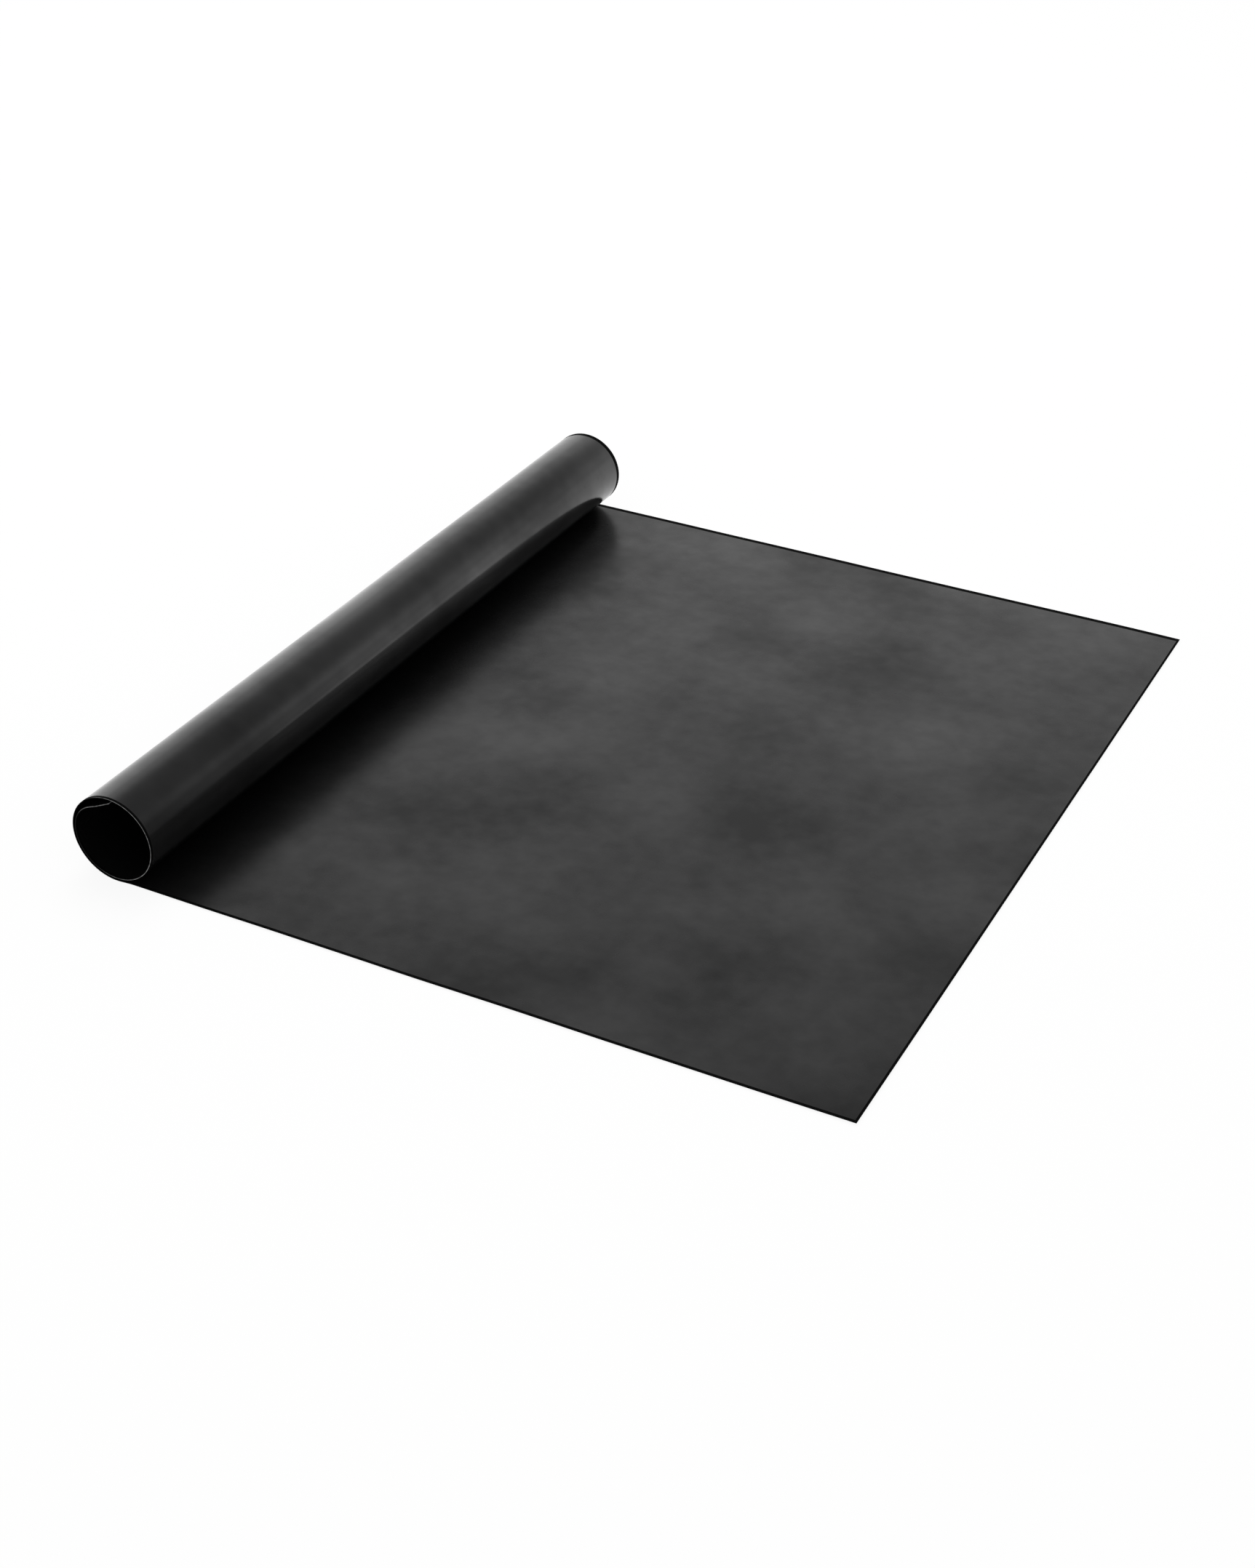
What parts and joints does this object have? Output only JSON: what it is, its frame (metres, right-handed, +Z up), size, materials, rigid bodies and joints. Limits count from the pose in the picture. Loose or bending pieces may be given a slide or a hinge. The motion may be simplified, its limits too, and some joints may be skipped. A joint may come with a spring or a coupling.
{
  "type": "barbecue hotplate liner",
  "caption": "Thin black coated glass-cloth sheet for a barbecue hotplate, lying flat with one end rolled up; the roll opens flat and the free end peels back.",
  "frame": {"origin": "on the surface that the sheet lies on, under the middle of its outline with the end rolled up", "axes": "+X from the roll to the flat free end, +Y along the roll, +Z up"},
  "size_m": [0.28, 0.33, 0.0321],
  "materials": {
    "coated_cloth": "black satin non-stick coating on a fine plain-woven glass cloth"
  },
  "bodies": {
    "flat_sheet": {"roll_landing": "coated_cloth", "cooking_panel": "coated_cloth"},
    "roll_strip_01": {"roll_strip_01": "coated_cloth"},
    "roll_strip_02": {"roll_strip_02": "coated_cloth"},
    "roll_strip_03": {"roll_strip_03": "coated_cloth"},
    "roll_strip_04": {"roll_strip_04": "coated_cloth"},
    "roll_strip_05": {"roll_strip_05": "coated_cloth"},
    "roll_strip_06": {"roll_strip_06": "coated_cloth"},
    "roll_strip_07": {"roll_strip_07": "coated_cloth"},
    "roll_strip_08": {"roll_strip_08": "coated_cloth"},
    "roll_strip_09": {"roll_strip_09": "coated_cloth"},
    "roll_strip_10": {"roll_strip_10": "coated_cloth"},
    "roll_strip_11": {"roll_strip_11": "coated_cloth"},
    "roll_strip_12": {"roll_strip_12": "coated_cloth"},
    "roll_strip_13": {"roll_strip_13": "coated_cloth"},
    "roll_strip_14": {"roll_strip_14": "coated_cloth"},
    "roll_strip_15": {"roll_strip_15": "coated_cloth"},
    "roll_strip_16": {"roll_strip_16": "coated_cloth"},
    "roll_strip_17": {"roll_strip_17": "coated_cloth"},
    "roll_strip_18": {"roll_strip_18": "coated_cloth"},
    "roll_strip_19": {"roll_strip_19": "coated_cloth"},
    "roll_strip_20": {"roll_strip_20": "coated_cloth"},
    "roll_tip": {"roll_tip": "coated_cloth"},
    "free_end_01": {"free_end_01": "coated_cloth"},
    "free_end_02": {"free_end_02": "coated_cloth"},
    "free_end_03": {"free_end_03": "coated_cloth"},
    "free_end_04": {"free_end_04": "coated_cloth"},
    "free_end_05": {"free_end_05": "coated_cloth"},
    "free_end_06": {"free_end_06": "coated_cloth"},
    "free_end_07": {"free_end_07": "coated_cloth"},
    "free_end_08": {"free_end_08": "coated_cloth"},
    "free_end_09": {"free_end_09": "coated_cloth"}
  },
  "joints": [
    {"name": "unroll", "type": "hinge", "parent": "flat_sheet", "child": "roll_strip_01", "pos_m": [-0.12719, 0, 0.00037], "axis": [0, -1, 0], "range_deg": [0, 24.5]},
    {"name": "unroll_02", "type": "hinge", "parent": "roll_strip_01", "child": "roll_strip_02", "pos_m": [-0.13346, 0, 0.00323], "axis": [0, -1, 0], "range_deg": [0, 24.5]},
    {"name": "unroll_03", "type": "hinge", "parent": "roll_strip_02", "child": "roll_strip_03", "pos_m": [-0.13796, 0, 0.00841], "axis": [0, -1, 0], "range_deg": [0, 24.5]},
    {"name": "unroll_04", "type": "hinge", "parent": "roll_strip_03", "child": "roll_strip_04", "pos_m": [-0.13991, 0, 0.01497], "axis": [0, -1, 0], "range_deg": [0, 24.5]},
    {"name": "unroll_05", "type": "hinge", "parent": "roll_strip_04", "child": "roll_strip_05", "pos_m": [-0.13896, 0, 0.02171], "axis": [0, -1, 0], "range_deg": [0, 24.5]},
    {"name": "unroll_06", "type": "hinge", "parent": "roll_strip_05", "child": "roll_strip_06", "pos_m": [-0.13531, 0, 0.02744], "axis": [0, -1, 0], "range_deg": [0, 24.5]},
    {"name": "unroll_07", "type": "hinge", "parent": "roll_strip_06", "child": "roll_strip_07", "pos_m": [-0.12964, 0, 0.03112], "axis": [0, -1, 0], "range_deg": [0, 24.5]},
    {"name": "unroll_08", "type": "hinge", "parent": "roll_strip_07", "child": "roll_strip_08", "pos_m": [-0.12298, 0, 0.03212], "axis": [0, -1, 0], "range_deg": [0, 24.5]},
    {"name": "unroll_09", "type": "hinge", "parent": "roll_strip_08", "child": "roll_strip_09", "pos_m": [-0.11653, 0, 0.03027], "axis": [0, -1, 0], "range_deg": [0, 24.5]},
    {"name": "unroll_10", "type": "hinge", "parent": "roll_strip_09", "child": "roll_strip_10", "pos_m": [-0.11145, 0, 0.02593], "axis": [0, -1, 0], "range_deg": [0, 24.5]},
    {"name": "unroll_11", "type": "hinge", "parent": "roll_strip_10", "child": "roll_strip_11", "pos_m": [-0.10864, 0, 0.01989], "axis": [0, -1, 0], "range_deg": [0, 24.5]},
    {"name": "unroll_12", "type": "hinge", "parent": "roll_strip_11", "child": "roll_strip_12", "pos_m": [-0.10858, 0, 0.01326], "axis": [0, -1, 0], "range_deg": [0, 24.5]},
    {"name": "unroll_13", "type": "hinge", "parent": "roll_strip_12", "child": "roll_strip_13", "pos_m": [-0.11126, 0, 0.00723], "axis": [0, -1, 0], "range_deg": [0, 24.5]},
    {"name": "unroll_14", "type": "hinge", "parent": "roll_strip_13", "child": "roll_strip_14", "pos_m": [-0.11619, 0, 0.00287], "axis": [0, -1, 0], "range_deg": [0, 24.5]},
    {"name": "unroll_15", "type": "hinge", "parent": "roll_strip_14", "child": "roll_strip_15", "pos_m": [-0.12246, 0, 0.00095], "axis": [0, -1, 0], "range_deg": [0, 24.5]},
    {"name": "unroll_16", "type": "hinge", "parent": "roll_strip_15", "child": "roll_strip_16", "pos_m": [-0.12893, 0, 0.0018], "axis": [0, -1, 0], "range_deg": [0, 24.5]},
    {"name": "unroll_17", "type": "hinge", "parent": "roll_strip_16", "child": "roll_strip_17", "pos_m": [-0.13444, 0, 0.00525], "axis": [0, -1, 0], "range_deg": [0, 24.5]},
    {"name": "unroll_18", "type": "hinge", "parent": "roll_strip_17", "child": "roll_strip_18", "pos_m": [-0.13802, 0, 0.01065], "axis": [0, -1, 0], "range_deg": [0, 24.5]},
    {"name": "unroll_19", "type": "hinge", "parent": "roll_strip_18", "child": "roll_strip_19", "pos_m": [-0.13903, 0, 0.01702], "axis": [0, -1, 0], "range_deg": [0, 24.5]},
    {"name": "unroll_20", "type": "hinge", "parent": "roll_strip_19", "child": "roll_strip_20", "pos_m": [-0.13776, 0, 0.02157], "axis": [0, -1, 0], "range_deg": [0, 24.5]},
    {"name": "unroll_21", "type": "hinge", "parent": "roll_strip_20", "child": "roll_tip", "pos_m": [-0.13474, 0, 0.02517], "axis": [0, -1, 0], "range_deg": [0, 24.5]},
    {"name": "peel", "type": "hinge", "parent": "flat_sheet", "child": "free_end_01", "pos_m": [0.00795, 0, 0.00025], "axis": [0, -1, 0], "range_deg": [0, 20]},
    {"name": "peel_02", "type": "hinge", "parent": "free_end_01", "child": "free_end_02", "pos_m": [0.02262, 0, 0.00025], "axis": [0, -1, 0], "range_deg": [0, 20]},
    {"name": "peel_03", "type": "hinge", "parent": "free_end_02", "child": "free_end_03", "pos_m": [0.03728, 0, 0.00025], "axis": [0, -1, 0], "range_deg": [0, 20]},
    {"name": "peel_04", "type": "hinge", "parent": "free_end_03", "child": "free_end_04", "pos_m": [0.05195, 0, 0.00025], "axis": [0, -1, 0], "range_deg": [0, 20]},
    {"name": "peel_05", "type": "hinge", "parent": "free_end_04", "child": "free_end_05", "pos_m": [0.06662, 0, 0.00025], "axis": [0, -1, 0], "range_deg": [0, 20]},
    {"name": "peel_06", "type": "hinge", "parent": "free_end_05", "child": "free_end_06", "pos_m": [0.08128, 0, 0.00025], "axis": [0, -1, 0], "range_deg": [0, 20]},
    {"name": "peel_07", "type": "hinge", "parent": "free_end_06", "child": "free_end_07", "pos_m": [0.09595, 0, 0.00025], "axis": [0, -1, 0], "range_deg": [0, 20]},
    {"name": "peel_08", "type": "hinge", "parent": "free_end_07", "child": "free_end_08", "pos_m": [0.11062, 0, 0.00025], "axis": [0, -1, 0], "range_deg": [0, 20]},
    {"name": "peel_09", "type": "hinge", "parent": "free_end_08", "child": "free_end_09", "pos_m": [0.12528, 0, 0.00025], "axis": [0, -1, 0], "range_deg": [0, 20]}
  ],
  "couplings": [
    {"joint": "unroll_02", "follows": "unroll", "ratio": 1},
    {"joint": "unroll_03", "follows": "unroll", "ratio": 1},
    {"joint": "unroll_04", "follows": "unroll", "ratio": 1},
    {"joint": "unroll_05", "follows": "unroll", "ratio": 1},
    {"joint": "unroll_06", "follows": "unroll", "ratio": 1},
    {"joint": "unroll_07", "follows": "unroll", "ratio": 1},
    {"joint": "unroll_08", "follows": "unroll", "ratio": 1},
    {"joint": "unroll_09", "follows": "unroll", "ratio": 1},
    {"joint": "unroll_10", "follows": "unroll", "ratio": 1},
    {"joint": "unroll_11", "follows": "unroll", "ratio": 1},
    {"joint": "unroll_12", "follows": "unroll", "ratio": 1},
    {"joint": "unroll_13", "follows": "unroll", "ratio": 1},
    {"joint": "unroll_14", "follows": "unroll", "ratio": 1},
    {"joint": "unroll_15", "follows": "unroll", "ratio": 1},
    {"joint": "unroll_16", "follows": "unroll", "ratio": 1},
    {"joint": "unroll_17", "follows": "unroll", "ratio": 1},
    {"joint": "unroll_18", "follows": "unroll", "ratio": 1},
    {"joint": "unroll_19", "follows": "unroll", "ratio": 1},
    {"joint": "unroll_20", "follows": "unroll", "ratio": 1},
    {"joint": "unroll_21", "follows": "unroll", "ratio": 1},
    {"joint": "peel_02", "follows": "peel", "ratio": 1},
    {"joint": "peel_03", "follows": "peel", "ratio": 1},
    {"joint": "peel_04", "follows": "peel", "ratio": 1},
    {"joint": "peel_05", "follows": "peel", "ratio": 1},
    {"joint": "peel_06", "follows": "peel", "ratio": 1},
    {"joint": "peel_07", "follows": "peel", "ratio": 1},
    {"joint": "peel_08", "follows": "peel", "ratio": 1},
    {"joint": "peel_09", "follows": "peel", "ratio": 1}
  ]
}
